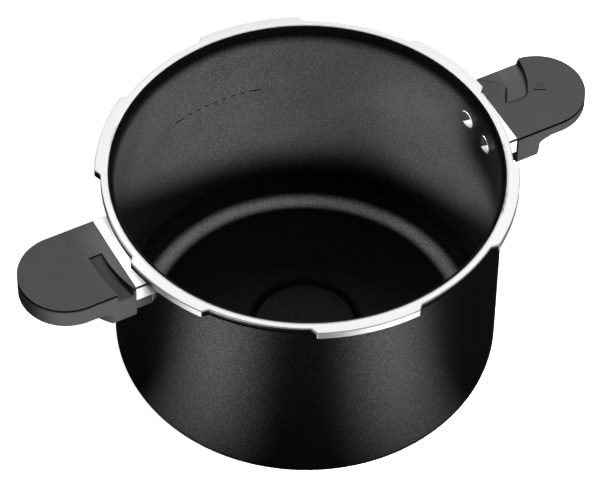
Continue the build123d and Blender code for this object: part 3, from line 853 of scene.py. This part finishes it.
class COOKER_OT_fill_mark(bpy.types.Operator):
    """Prints the dashed fill mark on the inner wall"""

    bl_idname = "cooker.fill_mark"
    bl_label = "Fill mark"

    def execute(self, context):
        sizes = context.scene.cooker_sizes
        bm = bmesh.new()
        start = sizes.mark_turn - sizes.mark_reach / 2
        add_dash(bm, sizes, start, sizes.mark_long)
        add_dash(bm, sizes, start + sizes.mark_reach - sizes.mark_long, sizes.mark_long)
        middle = sizes.mark_reach - 2 * sizes.mark_long
        gap = (middle - sizes.mark_count * sizes.mark_short) / (sizes.mark_count + 1)
        for place in range(sizes.mark_count):
            offset = sizes.mark_long + gap + place * (sizes.mark_short + gap)
            add_dash(bm, sizes, start + offset, sizes.mark_short)
        bmesh.ops.recalc_face_normals(bm, faces=bm.faces)
        mark = link_mesh("fill_mark", bm, ink_material(context.scene.cooker_finishes))
        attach(mark, "root")
        return {"FINISHED"}


class COOKER_OT_handles(bpy.types.Operator):
    """Gives both handles their moulded finish"""

    bl_idname = "cooker.handles"
    bl_label = "Handles"

    def execute(self, context):
        scene = context.scene
        moulding = moulding_material(scene.cooker_sizes, scene.cooker_finishes)
        dress(["handle_left", "handle_right"], moulding)
        return {"FINISHED"}


class COOKER_OT_brackets(bpy.types.Operator):
    """Gives both brackets their rolled steel finish"""

    bl_idname = "cooker.brackets"
    bl_label = "Brackets"

    def execute(self, context):
        scene = context.scene
        sheet = bracket_material(scene.cooker_sizes, scene.cooker_finishes)
        dress(["bracket_left", "bracket_right"], sheet)
        return {"FINISHED"}


class COOKER_OT_fasteners(bpy.types.Operator):
    """Gives rivets, screws, washers and inserts their metals"""

    bl_idname = "cooker.fasteners"
    bl_label = "Fasteners"

    def execute(self, context):
        finishes = context.scene.cooker_finishes
        screw = metal_material(
            "plated_screw", finishes.screw, ALONG_Z, SCREW_LINES, finishes.screw_roughness
        )
        brass = metal_material(
            "turned_brass", finishes.insert, LEVEL, BRASS_LINES, finishes.insert_roughness
        )
        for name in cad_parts:
            if name.startswith("rivet_"):
                dress([name], rivet_material(name, context.scene.cooker_sizes, finishes))
        dress([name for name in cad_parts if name.startswith(("screw_", "washer_"))], screw)
        dress([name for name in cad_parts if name.startswith("insert_")], brass)
        return {"FINISHED"}


# Studio


def studio_axes(studio):
    """Level directions from the pot towards the camera and to the camera's right."""
    turn = studio.camera_turn
    return Vector((sin(turn), -cos(turn), 0.0)), Vector((cos(turn), sin(turn), 0.0))


def aim_direction(studio, aim):
    """Direction from the pot, by its turn to the right of the camera and its elevation."""
    turn, elevation = aim
    level_back, right = studio_axes(studio)
    level = level_back * cos(turn) + right * sin(turn)
    return level * cos(elevation) + Vector((0.0, 0.0, sin(elevation)))


def set_axes(thing, place, *axes):
    """Puts an object at a place, with its X, Y and Z along the given directions."""
    thing.matrix_world = Matrix.Translation(place) @ Matrix(axes).transposed().to_4x4()


def add_camera(scene, studio):
    """Camera at the photograph's viewing angle."""
    right = studio_axes(studio)[1]
    back = aim_direction(studio, (0.0, studio.camera_rise))
    up = back.cross(right)
    lean = studio.camera_roll
    right, up = right * cos(lean) + up * sin(lean), up * cos(lean) - right * sin(lean)
    place = MOUTH + right * studio.camera_right + up * studio.camera_up + back * studio.camera_distance
    data = bpy.data.cameras.new("camera")
    data.lens = studio.lens
    data.sensor_fit = "HORIZONTAL"
    data.clip_end = CLIP_END
    camera = bpy.data.objects.new("camera", data)
    set_axes(camera, place, right, up, back)
    scene.collection.objects.link(camera)
    scene.camera = camera


def place_lamp(scene, name, data, direction, place):
    """Lamp at a place, facing against the given direction, and hidden from the camera."""
    lamp = bpy.data.objects.new(name, data)
    lamp.location = place
    lamp.rotation_euler = (-direction).to_track_quat("-Z", "Y").to_euler()
    lamp.visible_camera = False
    scene.collection.objects.link(lamp)
    return lamp


def add_softbox(scene, studio, name, aim, distance, size, radiance):
    """Area light that faces the pot."""
    direction = aim_direction(studio, aim)
    data = bpy.data.lights.new(name, "AREA")
    data.shape = "RECTANGLE"
    data.size, data.size_y = size
    data.energy = radiance * pi * data.size * data.size_y
    return place_lamp(scene, name, data, direction, direction * distance + MOUTH)


def add_spot(scene, studio, name, aim, distance, cone, target, light):
    """Lamp with a narrow cone, which reflections don't show."""
    direction = aim_direction(studio, aim)
    reach, blend = cone
    data = bpy.data.lights.new(name, "SPOT")
    data.energy = 4 * pi * light * distance**2
    data.spot_size = 2 * atan2(reach, distance)
    data.spot_blend = blend
    data.shadow_soft_size = min(SPOT_RADIUS, reach / 2)
    lamp = place_lamp(scene, name, data, direction, direction * distance + target)
    lamp.visible_glossy = False
    return lamp


def add_flag(studio, name, aim):
    """Square that only casts a shadow, set across a lamp's beam."""
    direction = aim_direction(studio, aim)
    across = aim_direction(studio, (aim[0] + pi / 2, 0.0))
    up = direction.cross(across)
    bm = bmesh.new()
    bmesh.ops.create_grid(bm, x_segments=1, y_segments=1, size=FLAG_SIZE / 2)
    material, tree, shader = new_material(name)
    set_shader(tree, shader, Base_Color=BLACK, Roughness=1.0)
    flag = link_mesh(name, bm, material)
    aside, above = (corner + FLAG_SIZE / 2 for corner in FLAG_CORNER)
    place = MOUTH + direction * FLAG_DISTANCE + across * aside + up * above
    set_axes(flag, place, across, up, direction)
    flag.visible_camera = flag.visible_transmission = False
    flag.visible_diffuse = flag.visible_glossy = False


def glow_material(name, radiance, outer, rising, half_span):
    """Light of a reflection card, which rises outward and fades towards its edges."""
    material, tree, shader = new_material(name)
    tree.nodes.remove(shader)
    points = object_points(tree)
    place = split(tree, points)
    bearing = calculate(tree, "ABSOLUTE", calculate(tree, "ARCTAN2", place["Y"], place["X"]))
    radius = distance_from_axis(tree, points)
    from_inner = rise(tree, radius, *rising)
    from_outer = rise(tree, radius, outer, outer - CARD_FADE)
    from_sides = rise(tree, bearing, half_span, 0.0)
    mask = both(tree, from_inner, from_outer, from_sides)
    light = node(tree, "ShaderNodeEmission", {"Strength": calculate(tree, "MULTIPLY", mask, radiance)})
    tree.links.new(light.outputs[0], tree.nodes["Material Output"].inputs["Surface"])
    return material


def add_card(studio, name, turn, radiance, reach, rising, half_span):
    """Flat sector on the floor that only reflections show."""
    bm = bmesh.new()
    ends = [bm.verts.new((radius, 0.0, 0.0)) for radius in reach]
    edge = bm.edges.new(ends)
    start = Matrix.Rotation(-half_span, 3, "Z")
    bmesh.ops.rotate(bm, verts=ends, cent=(0, 0, 0), matrix=start)
    bmesh.ops.spin(
        bm, geom=[*ends, edge], cent=(0, 0, 0), axis=(0, 0, 1), angle=2 * half_span, steps=CARD_STEPS
    )
    card = link_mesh(name, bm, glow_material(name, radiance, reach[1], rising, half_span))
    bearing = aim_direction(studio, (turn, 0.0))
    card.rotation_euler.z = bearing.to_2d().angle_signed(Vector((1.0, 0.0)))
    card.location.z = CARD_HEIGHT
    card.visible_camera = card.visible_transmission = False
    card.visible_diffuse = card.visible_shadow = False


def add_floor(studio, finishes):
    """Wide pale floor with a glow of its own, kept out of reflections."""
    bm = bmesh.new()
    bmesh.ops.create_grid(bm, x_segments=1, y_segments=1, size=GROUND_HALF)
    material, tree, shader = new_material("pale_floor")
    points = object_points(tree)
    grain = use_group(tree, grain_group(), Vector=points, Colour=finishes.floor, **GROUND_GRAIN)
    set_shader(
        tree,
        shader,
        Base_Color=grain["Colour"],
        Roughness=finishes.ground_roughness,
        Emission_Color=WHITE,
        Emission_Strength=studio.floor_glow,
    )
    floor = link_mesh("floor", bm, material)
    floor.location.z = -GROUND_GAP
    floor.visible_glossy = floor.visible_diffuse = False


def light_room(scene, studio):
    """White to the camera, and dim to everything else."""
    world = bpy.data.worlds.new("room")
    world.use_nodes = True
    tree = world.node_tree
    dim = tree.nodes["Background"]
    feed(tree, dim.inputs["Strength"], studio.room)
    feed(tree, dim.inputs["Color"], WHITE)
    white = node(tree, "ShaderNodeBackground", {"Color": WHITE})
    seen = node(tree, "ShaderNodeLightPath").outputs["Is Camera Ray"]
    chosen = node(tree, "ShaderNodeMixShader", {0: seen, 1: dim.outputs[0], 2: white.outputs[0]})
    tree.links.new(chosen.outputs[0], tree.nodes["World Output"].inputs["Surface"])
    scene.world = world


def add_softboxes(scene, studio):
    """Softboxes to either side of the camera, and the panel behind the pot that the rim mirrors."""
    boxes = (
        ("left_softbox", LEFT_BOX_AIM, studio.left_box),
        ("right_softbox", RIGHT_BOX_AIM, studio.right_box),
    )
    for name, aim, radiance in boxes:
        box = add_softbox(scene, studio, name, aim, SOFTBOX_DISTANCE, SOFTBOX_SIZE, radiance)
        box.visible_glossy = False
    add_softbox(
        scene, studio, "back_panel", BACK_PANEL_AIM, PANEL_DISTANCE, PANEL_SIZE, studio.back_panel
    )


def add_spots(scene, studio, sizes):
    """Lamps whose cones go only into the pot or onto one bracket, and the shade before one of them."""
    bracket = Vector((BRACKET_INSET - sizes.root_reach, 0.0, HANDLE_TOP))
    rivet = middle_of("rivet_right_near")
    spots = (
        ("floor_spot", OVERHEAD_AIM, OVERHEAD_DISTANCE, OVERHEAD_CONE, MOUTH, studio.floor_spot),
        ("left_wall_spot", LEFT_WALL_AIM, SPOT_DISTANCE, LEFT_WALL_CONE, MOUTH, studio.left_spot),
        ("right_wall_spot", RIGHT_WALL_AIM, SPOT_DISTANCE, RIGHT_WALL_CONE, MOUTH, studio.right_spot),
        ("rivet_spot", RIGHT_WALL_AIM, RIVET_DISTANCE, RIVET_CONE, rivet, studio.rivet_spot),
        ("bracket_spot", BRACKET_AIM, SPOT_DISTANCE, BRACKET_CONE, bracket, studio.bracket_spot),
    )
    lamps = {spot[0]: add_spot(scene, studio, *spot) for spot in spots}
    lamps["bracket_spot"].scale.y = BRACKET_SQUASH
    add_flag(studio, "right_wall_flag", RIGHT_WALL_AIM)


class COOKER_OT_stage(bpy.types.Operator):
    """Sets up the floor, lights and camera"""

    bl_idname = "cooker.stage"
    bl_label = "Stage"

    def execute(self, context):
        scene = context.scene
        studio = scene.cooker_studio
        scene.view_settings.view_transform = "Standard"
        add_floor(studio, scene.cooker_finishes)
        light_room(scene, studio)
        add_softboxes(scene, studio)
        add_spots(scene, studio, scene.cooker_sizes)
        for side, sign in (("left", -1), ("right", 1)):
            near = sign * NEAR_CARD_TURN
            far = sign * FAR_CARD_TURN
            add_card(studio, f"near_card_{side}", near, studio.near_cards, **NEAR_CARD)
            add_card(studio, f"far_card_{side}", far, studio.far_cards, **FAR_CARD)
        add_camera(scene, studio)
        return {"FINISHED"}


class COOKER_PT_sidebar(bpy.types.Panel):
    """Lists the cooker's pieces and settings"""

    bl_label = "Cooker"
    bl_space_type = "VIEW_3D"
    bl_region_type = "UI"
    bl_category = "Cooker"

    def draw(self, context):
        for operator in OPERATORS:
            self.layout.operator(operator.bl_idname)
        scene = context.scene
        for group in (scene.cooker_sizes, scene.cooker_finishes, scene.cooker_studio):
            box = self.layout.box()
            for name in group.bl_rna.properties.keys():
                if name not in ("rna_type", "name"):
                    box.prop(group, name)


OPERATORS = (
    COOKER_OT_pot,
    COOKER_OT_fill_mark,
    COOKER_OT_handles,
    COOKER_OT_brackets,
    COOKER_OT_fasteners,
    COOKER_OT_stage,
)
CLASSES = (CookerSizes, CookerFinishes, CookerStudio, *OPERATORS, COOKER_PT_sidebar)


def register():
    """Registers the classes and hangs the settings on the scene."""
    for made in CLASSES:
        bpy.utils.register_class(made)
    bpy.types.Scene.cooker_sizes = PointerProperty(type=CookerSizes)
    bpy.types.Scene.cooker_finishes = PointerProperty(type=CookerFinishes)
    bpy.types.Scene.cooker_studio = PointerProperty(type=CookerStudio)


def unregister():
    """Takes the settings and classes away again."""
    del bpy.types.Scene.cooker_studio
    del bpy.types.Scene.cooker_finishes
    del bpy.types.Scene.cooker_sizes
    for made in reversed(CLASSES):
        bpy.utils.unregister_class(made)


def main():
    """Builds the scene."""
    register()
    bpy.ops.cooker.pot()
    bpy.ops.cooker.fill_mark()
    bpy.ops.cooker.handles()
    bpy.ops.cooker.brackets()
    bpy.ops.cooker.fasteners()
    bpy.ops.cooker.stage()


if __name__ == "__main__":
    main()
